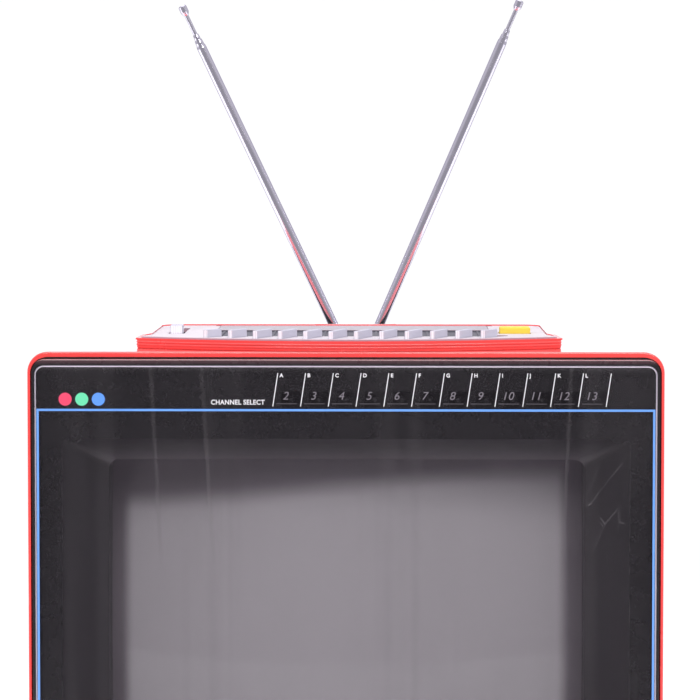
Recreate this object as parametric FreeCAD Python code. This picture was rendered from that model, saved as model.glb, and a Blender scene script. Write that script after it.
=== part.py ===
"""Portable 14 inch colour television: every piece as its own solid, in millimetres.

+Z is up, -Y is the screen side, +X is to the right as the viewer sees it.
The origin is on the table under the middle of the set.
"""
import FreeCAD, Part
import math
import os

V = FreeCAD.Vector

# ---------------------------------------------------------------- driving dimensions
CABINET_W = 364.0
CABINET_Z0 = 8.0
CABINET_Z1 = 330.0
FRONT = -192.0
SHELL_REAR = 58.0
REAR = 192.0
WALL = 3.0
CORNER_R = 12.0

PANEL_W = 356.2
PANEL_T = 4.2
PANEL_R = 5.6
PANEL_FRONT = FRONT + 0.6
PANEL_MARGIN_Z = 7.8
RIM_SIDE = 1.7
RIM_TOP = 3.3
RIM_DEPTH = 8.0
REBATE_R = 9.2
BEZEL_SIDE = 2.0
BEZEL_TOP = 4.5
BEZEL_Y0 = FRONT + 0.4
BEZEL_Y1 = FRONT + 11.0
FLANGE_Y = PANEL_FRONT + PANEL_T + 0.2
FLANGE_T = 2.4

SCREEN_W = 278.0
SCREEN_H = 208.0
SCREEN_Z = 160.6
SURROUND_W = 326.0
SURROUND_H = 238.0
SURROUND_Z = 160.6
MASK_BACK = -158.0

TUBE_W = 302.0
TUBE_H = 232.0
TUBE_R = 26.0
GLASS_R = 620.0
GLASS_FRONT = -157.0
GLASS_T = 12.0
SEAL_Y = -112.0
NECK_R = 14.6
NECK_END = 148.0
LUG_X = 157.0
LUG_Z = 121.0

DECK_Z = CABINET_Z1 + 6.9
DECK_FRONT = 0.4
DECK_X = 1.5
DECK_HALF_W = 119.0
LIP_HALF_W = 123.9
LIP_BOW_R = 298.0
LIP_END_R = 3.0
LIP_DROP = 0.9
RIM_RISE = 0.7
BEAD = 0.45
DECK_DEPTH = 130.0
DECK_REAR_R = 13.0
PLATE_T = 2.5
TROUGH_FLOOR = CABINET_Z1
TROUGH_T = 1.4

KEY_COUNT = 12
KEY_PITCH = 14.54
KEY_FIRST_X = -82.7
KEY_FACET = 2.8
KEY_SLANT = 8.0
KEY_FRONT = 5.4
KEY_BACK = 27.5
KEY_H = 4.6
PIN_R = 1.5
RUNNING = 0.06
SLOT_GAP = 0.4

RECESS = (-78.0, 88.0, 29.0, 85.0)
DOOR = (-78.4, 84.7, 87.5, 124.6)
DOOR_T = 2.2
HINGE_R = 0.8
SLIDER_SLOT = (-105.4, -96.0, 51.0, 101.0)
SLIDER_KNOB_L = 12.0
SLIDER_KNOB_H = 5.0
POWER = (90.2, 108.2, 52.5, 66.0)
POWER_H = 3.8

AERIAL_X = 3.0
AERIAL_HALF = 13.0
AERIAL_Y = 76.0
AERIAL_Z = 323.0
AERIAL_LENGTH = 239.0
LEAN = {"left": -25.4, "right": 23.4}
SHELF_Z = 318.0
SHELF_END = 98.0

FOOT_R = 12.0
FOOT_X = 148.0
FOOT_Y = (-160.0, 28.0)
BOARD_Z = 20.0
AERIAL_PLUG_R = 4.76
EARPHONE_R = 1.8

os.makedirs("parts", exist_ok=True)
NODES = {}
SCREWS = []


# ---------------------------------------------------------------- helpers
def box(x0, x1, y0, y1, z0, z1):
    return Part.makeBox(x1 - x0, y1 - y0, z1 - z0, V(x0, y0, z0))


def rod(radius, start, end):
    """Round bar between two points."""
    axis = V(*end) - V(*start)
    return Part.makeCylinder(radius, axis.Length, V(*start), axis)


def tube(outer, inner, start, end):
    return rod(outer, start, end).cut(rod(inner, start, end))


def edges_along(shape, axis):
    """Straight edges that run along one axis: 0 for X, 1 for Y, 2 for Z."""
    found = []
    for edge in shape.Edges:
        span = edge.Vertexes[-1].Point - edge.Vertexes[0].Point
        others = [abs(span[i]) for i in range(3) if i != axis]
        if abs(span[axis]) > 1e-6 and max(others) < 1e-6:
            found.append(edge)
    return found


def rounded(shape, axis, radius):
    return shape.makeFillet(radius, edges_along(shape, axis))


def frame_prism(width, z0, z1, radius, y0, y1):
    """Rounded rectangle facing the viewer, extruded from y0 to y1."""
    return rounded(box(-width / 2, width / 2, y0, y1, z0, z1), 1, radius)


def centred_prism(width, height, radius, y0, y1):
    """The same, centred on the screen."""
    return frame_prism(width, SCREEN_Z - height / 2, SCREEN_Z + height / 2, radius, y0, y1)


def rounded_wire(width, z0, z1, radius, y):
    """Rounded rectangle wire in a plane of constant y: four lines and four arcs."""
    half = width / 2
    edges = []
    corners = [(half, z1, 0), (-half, z1, 90), (-half, z0, 180), (half, z0, 270)]
    ends = []
    for x, z, start in corners:
        cx = x - math.copysign(radius, x)
        cz = z - radius if z == z1 else z + radius
        points = []
        for angle in (start, start + 45, start + 90):
            a = math.radians(angle)
            points.append(V(cx + radius * math.cos(a), y, cz + radius * math.sin(a)))
        ends.append(points)
    for i, points in enumerate(ends):
        edges.append(Part.Arc(*points).toShape())
        edges.append(Part.LineSegment(points[2], ends[(i + 1) % 4][0]).toShape())
    return Part.Wire(edges)


def revolved(profile, centre, axis):
    """Solid of revolution: profile is a list of (distance along axis, radius)."""
    axis = V(*axis)
    across = V(0, 0, 1) if abs(axis.z) < 0.5 else V(1, 0, 0)
    points = [V(*centre) + axis * along + across * radius for along, radius in profile]
    face = Part.Face(Part.makePolygon(points + points[:1]))
    return face.revolve(V(*centre), axis, 360)


def fused(pieces):
    return pieces[0].multiFuse(list(pieces[1:])).removeSplitter() if len(pieces) > 1 else pieces[0]


def cut_all(shape, tools):
    return shape.cut(Part.makeCompound(tools)) if tools else shape


def depth(d):
    """y of a point d behind the front plane."""
    return FRONT + d


def add(name, shape):
    NODES[name] = shape


# ---------------------------------------------------------------- cabinet
def rear_screws():
    return [(sx * 166.0, z) for sx in (-1, 1) for z in (24.0, 304.0)]


def feet_places():
    return [(sx * FOOT_X, y) for sx in (-1, 1) for y in FOOT_Y]


def cabinet_shell():
    outer = frame_prism(CABINET_W, CABINET_Z0, CABINET_Z1, CORNER_R, FRONT, SHELL_REAR)
    rim = [e for e in outer.Edges if all(abs(v.Y - FRONT) < 1e-6 for v in e.Vertexes)]
    outer = outer.makeFillet(1.1, rim)
    inner = frame_prism(CABINET_W - 2 * WALL, CABINET_Z0 + WALL, CABINET_Z1 - WALL,
                        CORNER_R - WALL, FRONT - 1, SHELL_REAR + 1)
    rebate = frame_prism(CABINET_W - 2 * RIM_SIDE, CABINET_Z0 + RIM_TOP, CABINET_Z1 - RIM_TOP,
                         REBATE_R, FRONT - 1, FRONT + RIM_DEPTH)
    shell = outer.cut(inner).cut(rebate)
    # Screw bosses stand in the four corners and stop the front bezel at their front ends.
    bosses = []
    for x, z in rear_screws():
        side = math.copysign(1, x)
        wall_x = side * (CABINET_W / 2 - WALL / 2)
        boss = rod(5.5, (x, FLANGE_Y + FLANGE_T + 0.2, z), (x, 50, z))
        web = box(min(x, wall_x), max(x, wall_x), BEZEL_Y1 + 0.2, 50, z - 1.5, z + 1.5)
        bosses += [boss, web]
    # Two rails moulded on the floor carry the main board.
    rails = [box(x - 2.4, x + 2.4, -125, 50, CABINET_Z0 + 1, BOARD_Z) for x in (-140, 140)]
    shell = fused([shell] + bosses + rails)
    # Opening under the deck, wider at the back for the tuning well.
    roof = (CABINET_Z1 - WALL - 1, CABINET_Z1 + 1)
    cuts = [deck_outline(5.2, *roof).common(box(-111, 113, depth(12), depth(121), *roof)),
            opening(DOOR, 2.0, *roof)]
    cuts += [rod(1.6, (x, 20, z), (x, 51, z)) for x, z in rear_screws()]
    for row in (-90, -20):
        for i in range(13):
            x = (i - 6) * 18.0
            cuts.append(box(x - 2, x + 2, row, row + 44, CABINET_Z0 - 1, CABINET_Z0 + WALL + 1))
    for i in range(9):
        y = 5 + (i - 4) * 7.0
        half = math.sqrt(33.0 ** 2 - (y - 5) ** 2)
        cuts.append(box(CABINET_W / 2 - WALL - 1, CABINET_W / 2 + 1, y - 1.2, y + 1.2,
                        175 - half, 175 + half))
    cuts += [rod(1.7, (x, y, CABINET_Z0 - 1), (x, y, CABINET_Z0 + WALL + 1)) for x, y in feet_places()]
    add("cabinet_shell", cut_all(shell, cuts))


def feet():
    pads = []
    for x, y in feet_places():
        pad = revolved([(0, 0), (0, FOOT_R - 1.5), (1.5, FOOT_R), (8, FOOT_R - 1), (8, 0)],
                       (x, y, 0), (0, 0, 1))
        pad = pad.cut(rod(5.0, (x, y, -1), (x, y, 4))).cut(rod(1.7, (x, y, 3), (x, y, 9)))
        pads.append(pad)
        head = rod(4.0, (x, y, 2), (x, y, 4))
        slot = fused([box(x - 3, x + 3, y - 0.4, y + 0.4, 1.5, 3),
                      box(x - 0.4, x + 0.4, y - 3, y + 3, 1.5, 3)])
        SCREWS.append(head.fuse(rod(1.5, (x, y, 4), (x, y, 15))).cut(slot))
    add("feet", Part.makeCompound(pads))


def cover_solid(shrink):
    """Outline of the rear cover, drawn in by a wall thickness."""
    low = 12.0 + shrink
    deep = frame_prism(CABINET_W - 10 - 2 * shrink, low, SHELF_Z - shrink, 10 - shrink,
                       SHELL_REAR - 1, SHELF_END)
    wide = rounded_wire(CABINET_W - 10 - 2 * shrink, low, SHELF_Z - shrink, 10 - shrink, SHELF_END)
    narrow = rounded_wire(210 - 2 * shrink, low, 215 - shrink, 10 - shrink, REAR - shrink)
    return deep.fuse(Part.makeLoft([wide, narrow], True, True))


def rear_cover():
    rim = frame_prism(CABINET_W - 1.0, CABINET_Z0 + 0.5, CABINET_Z1 - 0.5, CORNER_R - 0.5,
                      SHELL_REAR, SHELL_REAR + 6)
    low, high = CABINET_Z0 + WALL, CABINET_Z1 - WALL
    tongue = frame_prism(CABINET_W - 2 * WALL - 0.8, low + 0.4, high - 0.4, CORNER_R - WALL,
                         SHELL_REAR - 5, SHELL_REAR + 1)
    tongue = tongue.cut(frame_prism(CABINET_W - 2 * WALL - 5, low + 3, high - 3, CORNER_R - 2 * WALL,
                                    SHELL_REAR - 6, SHELL_REAR + 2))
    outer = cover_solid(0)
    body = rim.fuse(outer).cut(cover_solid(WALL))
    wells = [rod(8, (x, SHELL_REAR, z), (x, REAR, z)).common(outer) for x, z in rear_screws()]
    pan = box(-96, -24, REAR - 15, REAR, 40, 84).common(outer)
    cover = fused([body, tongue, pan] + wells)
    cuts = [box(-93, -27, REAR - 12, REAR + 1, 43, 81)]
    for x, z in rear_screws():
        cuts.append(rod(5.6, (x, SHELL_REAR + 10, z), (x, REAR, z)))
        cuts.append(rod(1.7, (x, SHELL_REAR - 6, z), (x, SHELL_REAR + 11, z)))
        cuts.append(rod(7, (x, SHELL_REAR - 6, z), (x, SHELL_REAR, z)))
    cuts.append(rod(5.1, (-74, REAR - 16, 62), (-74, REAR - 8, 62)))
    cuts.append(rod(4.1, (-44, REAR - 16, 62), (-44, REAR - 8, 62)))
    cuts.append(rod(7.05, (62, REAR - 8, 34), (62, REAR + 1, 34)))
    for i in range(19):
        x = (i - 9) * 9.0
        cuts.append(box(x - 1.6, x + 1.6, 112, 176, 190, 330))
        cuts.append(box(x - 1.6, x + 1.6, REAR - WALL - 2, REAR + 1, 100, 190))
    cuts.append(box(AERIAL_X - 30, AERIAL_X + 30, AERIAL_Y - 11, AERIAL_Y + 11,
                    SHELF_Z - WALL - 1, SHELF_Z + 1))
    add("rear_cover", cut_all(cover, cuts))

    for x, z in rear_screws():
        y = SHELL_REAR + 10
        head = rod(4.2, (x, y, z), (x, y + 2.6, z))
        cross = fused([box(x - 2.8, x + 2.8, y + 1.2, y + 3, z - 0.5, z + 0.5),
                       box(x - 0.5, x + 0.5, y + 1.2, y + 3, z - 2.8, z + 2.8)])
        SCREWS.append(head.fuse(rod(1.5, (x, y - 36, z), (x, y, z))).cut(cross))


def rear_fittings():
    y = REAR - 15
    x, z = -74, 62
    socket = fused([rod(5.0, (x, y, z), (x, y + 3, z)), rod(7.5, (x, y + 3, z), (x, y + 4.5, z)),
                    rod(AERIAL_PLUG_R, (x, y + 4.5, z), (x, y + 13, z)),
                    box(x - 10, x + 10, y - 12, y, z - 10, z + 10)])
    socket = socket.cut(rod(3.3, (x, y + 2, z), (x, y + 14, z)))
    add("aerial_socket", Part.makeCompound([socket, rod(0.5, (x, y + 2, z), (x, y + 11, z))]))
    x = -44
    jack = fused([rod(4.0, (x, y, z), (x, y + 3, z)), rod(5.5, (x, y + 3, z), (x, y + 5, z)),
                  box(x - 6, x + 6, y - 14, y, z - 6, z + 6)])
    add("earphone_jack", jack.cut(rod(EARPHONE_R, (x, y - 10, z), (x, y + 6, z))))
    gland = revolved([(-9, 3.6), (-9, 6.4), (-3.2, 7.0), (-3.2, 9.0), (-3.1, 9.0), (-3.1, 7.0),
                      (0, 7.0), (0, 3.6)], (62, REAR, 34), (0, 1, 0))
    add("cord_gland", gland)


# ---------------------------------------------------------------- screen front
def front_bezel():
    """Moulded surround: seat in the cabinet rebate, raised ring round the panel, skirt inside the wall."""
    seat = frame_prism(CABINET_W - 2 * RIM_SIDE - 0.4, CABINET_Z0 + RIM_TOP + 0.2,
                       CABINET_Z1 - RIM_TOP - 0.2, REBATE_R, FRONT + 2.4, FRONT + RIM_DEPTH - 0.2)
    ring = frame_prism(CABINET_W - 2 * BEZEL_SIDE, CABINET_Z0 + BEZEL_TOP, CABINET_Z1 - BEZEL_TOP,
                       PANEL_R + 1.8, BEZEL_Y0, FRONT + 4)
    outside = [e for e in ring.Edges if all(abs(v.Y - BEZEL_Y0) < 1e-6 for v in e.Vertexes)]
    ring = ring.makeFillet(0.8, outside)
    inset = WALL + 0.3
    skirt = frame_prism(CABINET_W - 2 * inset, CABINET_Z0 + inset, CABINET_Z1 - inset, CORNER_R - WALL,
                        FRONT + RIM_DEPTH - 1, BEZEL_Y1)
    pocket = frame_prism(PANEL_W + 0.4, CABINET_Z0 + PANEL_MARGIN_Z - 0.2,
                         CABINET_Z1 - PANEL_MARGIN_Z + 0.2, PANEL_R + 0.2, BEZEL_Y0 - 1, FLANGE_Y)
    inset += 2.3
    hollow = frame_prism(CABINET_W - 2 * inset, CABINET_Z0 + inset, CABINET_Z1 - inset, CORNER_R - inset,
                         FLANGE_Y + FLANGE_T, BEZEL_Y1 + 1)
    window = centred_prism(SURROUND_W, SURROUND_H, 4, FLANGE_Y - 1, FLANGE_Y + FLANGE_T + 1)
    bezel = fused([seat, ring, skirt]).cut(pocket).cut(hollow).cut(window)
    posts = []
    for sx in (-1, 1):
        for sz in (-1, 1):
            x, z = sx * LUG_X, SCREEN_Z + sz * LUG_Z
            post = rod(5, (x, FLANGE_Y + 1, z), (x, -118, z)).cut(rod(1.6, (x, -150, z), (x, -117, z)))
            posts.append(post.cut(box(-SURROUND_W / 2, SURROUND_W / 2, FLANGE_Y, FLANGE_Y + FLANGE_T,
                                      SCREEN_Z - SURROUND_H / 2, SCREEN_Z + SURROUND_H / 2)))
    windows = [box(x - 5.5, x + 5.5, FLANGE_Y - 1, FLANGE_Y + FLANGE_T + 1, 296, 307)
               for x in cell_centres()]
    add("front_bezel", cut_all(fused([bezel] + posts), windows))


def cell_centres():
    """Middles of the twelve channel windows along the top of the panel."""
    return [-31.6 + 16.0 * i for i in range(KEY_COUNT)]


def front_panel():
    panel = frame_prism(PANEL_W, CABINET_Z0 + PANEL_MARGIN_Z, CABINET_Z1 - PANEL_MARGIN_Z, PANEL_R,
                        PANEL_FRONT, PANEL_FRONT + PANEL_T)
    edge = [e for e in panel.Edges if all(abs(v.Y - PANEL_FRONT) < 1e-6 for v in e.Vertexes)]
    add("front_panel", panel.makeChamfer(1.0, edge))


def glass_ball(radius):
    """Ball whose front pole is set back from the face by the difference in radius."""
    return Part.makeSphere(radius, V(0, GLASS_FRONT + GLASS_R, SCREEN_Z))


def screen_mask():
    front = FLANGE_Y + FLANGE_T
    half_h = SURROUND_H / 2

    def bevel(grow, y0, y1):
        wide = rounded_wire(SURROUND_W + 2 * grow, SURROUND_Z - half_h - grow,
                            SURROUND_Z + half_h + grow, 3 + grow, y0)
        tight = rounded_wire(SCREEN_W + 2 * grow, SCREEN_Z - SCREEN_H / 2 - grow,
                             SCREEN_Z + SCREEN_H / 2 + grow, 6 + grow, y1)
        return Part.makeLoft([wide, tight], True, True)

    flange = centred_prism(SURROUND_W + 9, SURROUND_H + 9, 6, front, front + 2)
    outside = fused([flange, bevel(2, front, MASK_BACK),
                     centred_prism(SCREEN_W + 4, SCREEN_H + 4, 8, MASK_BACK, -118)])
    inside = fused([bevel(0, front, MASK_BACK),
                    centred_prism(SCREEN_W, SCREEN_H, 6, MASK_BACK - 0.01, -117),
                    centred_prism(SURROUND_W, SURROUND_H, 3, front - 1, front)])
    mask = outside.cut(inside).cut(glass_ball(GLASS_R + 0.5))
    holes = [rod(5.4, (sx * LUG_X, -192, SCREEN_Z + sz * LUG_Z), (sx * LUG_X, -110, SCREEN_Z + sz * LUG_Z))
             for sx in (-1, 1) for sz in (-1, 1)]
    add("screen_mask", cut_all(mask, holes))


def channel_indicator():
    """Lamp board behind the channel windows: one lamp in a light box for each channel."""
    y = FLANGE_Y + FLANGE_T
    boxes = []
    for x in cell_centres():
        cell = box(x - 7, x + 7, y, y + 9, 294.5, 308.5).cut(box(x - 6, x + 6, y - 1, y + 8, 295.5, 307.5))
        boxes.append(cell)
        lamp = rod(2.0, (x, y + 3, 301.5), (x, y + 8, 301.5))
        boxes.append(lamp.fuse(Part.makeSphere(2.0, V(x, y + 3, 301.5))))
    first, last = cell_centres()[0], cell_centres()[-1]
    boxes.append(box(first - 12, last + 12, y + 9, y + 10.6, 290, 309.5))
    add("channel_indicator", Part.makeCompound(boxes))


# ---------------------------------------------------------------- picture tube
def tube_wire(width, height, radius, y):
    return rounded_wire(width, SCREEN_Z - height / 2, SCREEN_Z + height / 2, radius, y)


def funnel_solid(shrink):
    sections = [(TUBE_W, TUBE_H, TUBE_R, SEAL_Y), (240, 186, 60, -70), (140, 116, 50, -30),
                (70, 66, 32, 0), (2 * NECK_R, 2 * NECK_R, NECK_R - 0.05, 25)]
    wires = [tube_wire(w - 2 * shrink, h - 2 * shrink, r - shrink, y) for w, h, r, y in sections]
    neck = rod(NECK_R - shrink, (0, 24.9, SCREEN_Z), (0, NECK_END - shrink, SCREEN_Z))
    return Part.makeLoft(wires, True, True).fuse(neck)


def picture_tube():
    face = centred_prism(TUBE_W, TUBE_H, TUBE_R, GLASS_FRONT - 1, SEAL_Y).common(glass_ball(GLASS_R))
    hollow = centred_prism(TUBE_W - 20, TUBE_H - 20, TUBE_R - 10, GLASS_FRONT, SEAL_Y + 1)
    inner_ball = Part.makeSphere(GLASS_R - GLASS_T, V(0, GLASS_FRONT + GLASS_R, SCREEN_Z))
    add("crt_faceplate", face.cut(hollow.common(inner_ball)))
    add("crt_funnel", funnel_solid(0).cut(funnel_solid(3)))

    band = centred_prism(TUBE_W + 3.4, TUBE_H + 3.4, TUBE_R + 1.5, -129, -114)
    opening = centred_prism(TUBE_W + 0.4, TUBE_H + 0.4, TUBE_R, -135, -100)
    ears = []
    for sx in (-1, 1):
        for sz in (-1, 1):
            x, z = sx * LUG_X, SCREEN_Z + sz * LUG_Z
            inner_x, outer_x = x - sx * 18, x + sx * 7
            inner_z, outer_z = z - sz * 18, z + sz * 7
            ears.append(box(min(inner_x, outer_x), max(inner_x, outer_x), -118, -116,
                            min(inner_z, outer_z), max(inner_z, outer_z)))
    band = fused([band] + ears).cut(opening)
    places = [(sx * LUG_X, SCREEN_Z + sz * LUG_Z) for sx in (-1, 1) for sz in (-1, 1)]
    add("crt_band", cut_all(band, [rod(2.0, (x, -120, z), (x, -114, z)) for x, z in places]))
    SCREWS.extend(rod(4, (x, -116, z), (x, -113, z)).fuse(rod(1.5, (x, -140, z), (x, -116, z)))
                  for x, z in places)

    sheet = centred_prism(270, 200, 14, GLASS_FRONT, -118)
    back = GLASS_R - GLASS_T - 8
    shell = Part.makeSphere(back, V(0, GLASS_FRONT + GLASS_R, SCREEN_Z))
    shell = shell.cut(Part.makeSphere(back - 0.6, V(0, GLASS_FRONT + GLASS_R, SCREEN_Z)))
    rim = centred_prism(274, 204, 14, -122, -116).cut(centred_prism(264, 194, 12, -123, -115))
    add("shadow_mask", Part.makeCompound([sheet.common(shell).cut(rim), rim]))

    gun = [(42, 8.5), (60, 8.5), (60, 7), (63, 7), (63, 9), (84, 9), (84, 6.5), (88, 6.5), (88, 9),
           (112, 9), (112, 5), (118, 5), (118, 8), (132, 8)]
    gun = revolved([(42, 3)] + gun + [(132, 3)], (0, 0, SCREEN_Z), (0, 1, 0))
    pins = []
    for i in range(9):
        a = math.radians(40 * i)
        x, z = 6.5 * math.cos(a), SCREEN_Z + 6.5 * math.sin(a)
        pins.append(rod(0.6, (x, NECK_END, z), (x, NECK_END + 7, z)))
    add("electron_gun", Part.makeCompound([gun] + pins))

    coils = [(0, 37.5), (0, 44), (4, 46), (30, 24), (46, 24), (46, 17), (27, 17)]
    add("yoke_coils", revolved(coils, (0, 0, SCREEN_Z), (0, 1, 0)))
    core = [(8, 43.5), (8, 52), (16, 52), (34, 36), (34, 25), (30, 25.6)]
    add("yoke_core", revolved(core, (0, 0, SCREEN_Z), (0, 1, 0)))
    rings = []
    for i in range(6):
        y = 52 + i * 3.0
        ring = tube(22, NECK_R + 0.4, (0, y, SCREEN_Z), (0, y + 2, SCREEN_Z))
        tab = rod(3.5, (0, y, SCREEN_Z + 24), (0, y + 2, SCREEN_Z + 24))
        tab.rotate(V(0, y, SCREEN_Z), V(0, 1, 0), 24 * (i - 2.5))
        rings.append(ring.fuse(tab))
    add("purity_rings", Part.makeCompound(rings))

    board = box(-34, 34, NECK_END + 2, NECK_END + 3.6, SCREEN_Z - 34, SCREEN_Z + 34)
    board = board.cut(rod(9, (0, NECK_END, SCREEN_Z), (0, NECK_END + 9, SCREEN_Z)))
    base = tube(16, 9, (0, NECK_END + 3.6, SCREEN_Z), (0, NECK_END + 12, SCREEN_Z))
    high = SCREEN_Z + 22
    parts = [rod(4, (x, NECK_END + 3.6, high), (x, NECK_END + 14, high)) for x in (-24, 24)]
    add("neck_board", Part.makeCompound([board, base] + parts))

    loop = rounded_wire(316, SCREEN_Z - 124, SCREEN_Z + 124, 44, -104)
    section = Part.Wire(Part.makeCircle(4.5, V(-114, -104, SCREEN_Z + 124), V(1, 0, 0)))
    add("degauss_coil", loop.makePipeShell([section], True, False))


# ---------------------------------------------------------------- electronics
def chassis():
    top = BOARD_Z + 1.6
    board = box(-150, 150, -120, 112, BOARD_Z, top)
    chip_places = ((-60, -90), (-20, -60), (30, -90), (60, -30), (-100, -40))
    chips = [box(x, x + 22, y, y + 8, top, top + 4) for x, y in chip_places]
    can_places = ((-130, -80), (-110, -90), (110, -60), (125, -80), (0, -70))
    cans = [rod(5, (x, y, top), (x, y, top + 13)) for x, y in can_places]
    board = board.cut(box(96, 104, 20, 28, BOARD_Z - 1, top + 1))
    add("main_board", Part.makeCompound([board] + chips + cans))

    core = fused([box(88, 128, 60, 68, top, top + 52), box(88, 96, 60, 84, top, top + 52).fuse(
        box(120, 128, 60, 84, top, top + 52)), box(88, 128, 60, 84, top + 44, top + 52)])
    winding = rod(17, (106, 84.5, top), (106, 84.5, top + 4))
    winding = fused([winding.cut(box(80, 130, 50, 84.2, top - 1, top + 60)),
                     box(98, 118, 70, 96, top, top + 42)])
    knobs = [rod(3, (x, 96, top + 30), (x, 101, top + 30)) for x in (102, 113)]
    add("flyback_transformer", Part.makeCompound([core.cut(winding), fused([winding] + knobs)]))

    pieces = []
    for x in (-120, -60):
        plate = box(x - 2, x, -10, 60, top, top + 60)
        fins = [box(x - 12, x - 2, y, y + 1.6, top, top + 56) for y in range(-8, 60, 8)]
        pieces.append(fused([plate] + fins))
        pieces.append(box(x, x + 5, 20, 36, top + 26, top + 46))
    pieces += [rod(r, (x, y, top), (x, y, top + h)) for x, y, r, h in
               ((-20, 40, 15, 42), (20, 50, 11, 36), (50, 20, 9, 30), (135, 20, 9, 30))]
    add("power_components", Part.makeCompound(pieces))

    tuner = rounded(box(-140, -100, 66, 108, top, top + 26), 2, 1.0)
    neck = rod(4, (-120, 108, top + 14), (-120, 116, top + 14))
    add("tuner_box", tuner.fuse(neck))


def speaker():
    centre = (CABINET_W / 2 - WALL, 5, 175)
    out = (-1, 0, 0)
    basket = [(0.2, 33), (0.2, 40), (2.4, 40), (2.4, 35.2), (16, 22), (20, 22), (20, 17.5),
              (34, 17.5), (34, 3.2), (18, 3.2), (18, 16), (14, 20.5), (2.2, 33)]
    frame = revolved(basket, centre, out)
    windows = []
    for i in range(4):
        slot = box(centre[0] - 14, centre[0] - 4, centre[1] - 8, centre[1] + 8,
                   centre[2] + 22, centre[2] + 38)
        slot.rotate(V(*centre), V(1, 0, 0), 45 + 90 * i)
        windows.append(slot)
    add("speaker_basket", cut_all(frame, windows))
    cone = [(1.0, 32), (2.0, 32.5), (1.8, 30), (3.6, 28.5), (13, 10), (11, 6), (10, 0), (9.3, 0),
            (10.2, 6.2), (12, 9.4), (3.0, 28), (0.9, 30)]
    add("speaker_cone", revolved(cone, centre, out))


# ---------------------------------------------------------------- control deck
def bow(x):
    """How far the bowed front edge has fallen back at x from the deck's own middle."""
    return LIP_BOW_R - math.sqrt(LIP_BOW_R ** 2 - x ** 2)


def deck_outline(inset, z0, z1):
    """Deck seen from above: bowed front, swollen front ends, straight sides, round rear corners."""
    lip = LIP_HALF_W - inset
    side = DECK_HALF_W - inset
    rear_r = DECK_REAR_R - inset
    front_y = depth(DECK_FRONT + inset)
    end_y = front_y + bow(lip)
    swell_y = end_y + 16
    back = depth(DECK_DEPTH - inset)
    diag = rear_r * (1 - math.sqrt(0.5))

    def line(x0, y0, x1, y1):
        return Part.LineSegment(V(x0, y0, z0), V(x1, y1, z0)).toShape()

    def rear_corner(sign):
        points = [V(sign * side, back - rear_r, z0), V(sign * (side - diag), back - diag, z0),
                  V(sign * (side - rear_r), back, z0)]
        return Part.Arc(*(points if sign > 0 else points[::-1])).toShape()

    edges = [Part.Arc(V(-lip, end_y, z0), V(0, front_y, z0), V(lip, end_y, z0)).toShape(),
             line(lip, end_y, side, swell_y), line(side, swell_y, side, back - rear_r), rear_corner(1),
             line(side - rear_r, back, rear_r - side, back), rear_corner(-1),
             line(-side, back - rear_r, -side, swell_y), line(-side, swell_y, -lip, end_y)]
    solid = Part.Face(Part.Wire(edges)).extrude(V(0, 0, z1 - z0))
    solid.translate(V(DECK_X, 0, 0))
    return solid


def edges_at(shape, z):
    """Edges that lie flat at one height."""
    return [e for e in shape.Edges if all(abs(v.Z - z) < 1e-6 for v in e.Vertexes)]


def lip_outline(grow, z0, z1):
    """Deck outline with its two front corners rounded."""
    block = deck_outline(-grow, z0, z1)
    ends = [e for e in edges_along(block, 2) if abs(e.Vertexes[0].X - DECK_X) > LIP_HALF_W - 0.1]
    return block.makeFillet(LIP_END_R + grow, ends)


def key_outline(index, grow, z0, z1):
    """Slanted key seen from above, grown by a gap all round."""
    left = KEY_FIRST_X + KEY_PITCH * index
    front = depth(bow(left + KEY_FACET / 2 - DECK_X) + KEY_FRONT)
    back = depth(KEY_BACK)
    lean = KEY_SLANT / (back - front)
    side = grow * math.sqrt(1 + lean ** 2)
    points = []
    for y, x in ((front - grow, left - side), (front - grow, left + KEY_FACET + side),
                 (back + grow, left + KEY_FACET + side), (back + grow, left - side)):
        points.append(V(x + lean * (y - front), y, z0))
    return Part.Face(Part.makePolygon(points + points[:1])).extrude(V(0, 0, z1 - z0))


def pin_place(index):
    """Middle of a key, where its guide pin stands."""
    left = KEY_FIRST_X + KEY_PITCH * index
    front = bow(left + KEY_FACET / 2 - DECK_X) + KEY_FRONT
    return left + (KEY_FACET + KEY_SLANT) / 2, depth((front + KEY_BACK) / 2)


def deck_bezel():
    lip_top = DECK_Z - LIP_DROP
    ring = lip_outline(0, CABINET_Z1, lip_top)
    ring = ring.makeFillet(0.8, edges_at(ring, lip_top))
    ring = ring.makeFillet(0.8, edges_at(ring, CABINET_Z1))
    # Two fine beads run round the bowed front.
    beads = []
    for z in (CABINET_Z1 + 2.3, CABINET_Z1 + 3.9):
        bead = lip_outline(BEAD, z - BEAD, z + BEAD)
        bead = bead.makeFillet(BEAD * 0.9, edges_at(bead, z + BEAD))
        beads.append(bead.common(box(-200, 200, depth(-1), depth(44), z - 1, z + 1)))
    # Along the sides and the back the edge stands above the plate, rising from the lip by a short ramp.
    rim_top = DECK_Z + RIM_RISE
    rim = deck_outline(0, lip_top - 1, rim_top)
    rim = rim.makeFillet(0.6, edges_at(rim, rim_top))
    ramp = [(-10, lip_top), (27, lip_top), (38, rim_top), (38, rim_top + 1), (-10, rim_top + 1)]
    ramp = [V(-200, depth(d), z) for d, z in ramp]
    rim = rim.cut(Part.Face(Part.makePolygon(ramp + ramp[:1])).extrude(V(400, 0, 0)))
    add("deck_bezel", fused([ring, rim] + beads).cut(deck_outline(3.0, CABINET_Z1 - 1, rim_top + 1)))


def opening(limits, grow, z0, z1, radius=0.0):
    x0, x1, d0, d1 = limits
    shape = box(x0 - grow, x1 + grow, depth(d0) - grow, depth(d1) + grow, z0, z1)
    return rounded(shape, 2, radius) if radius else shape


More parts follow.
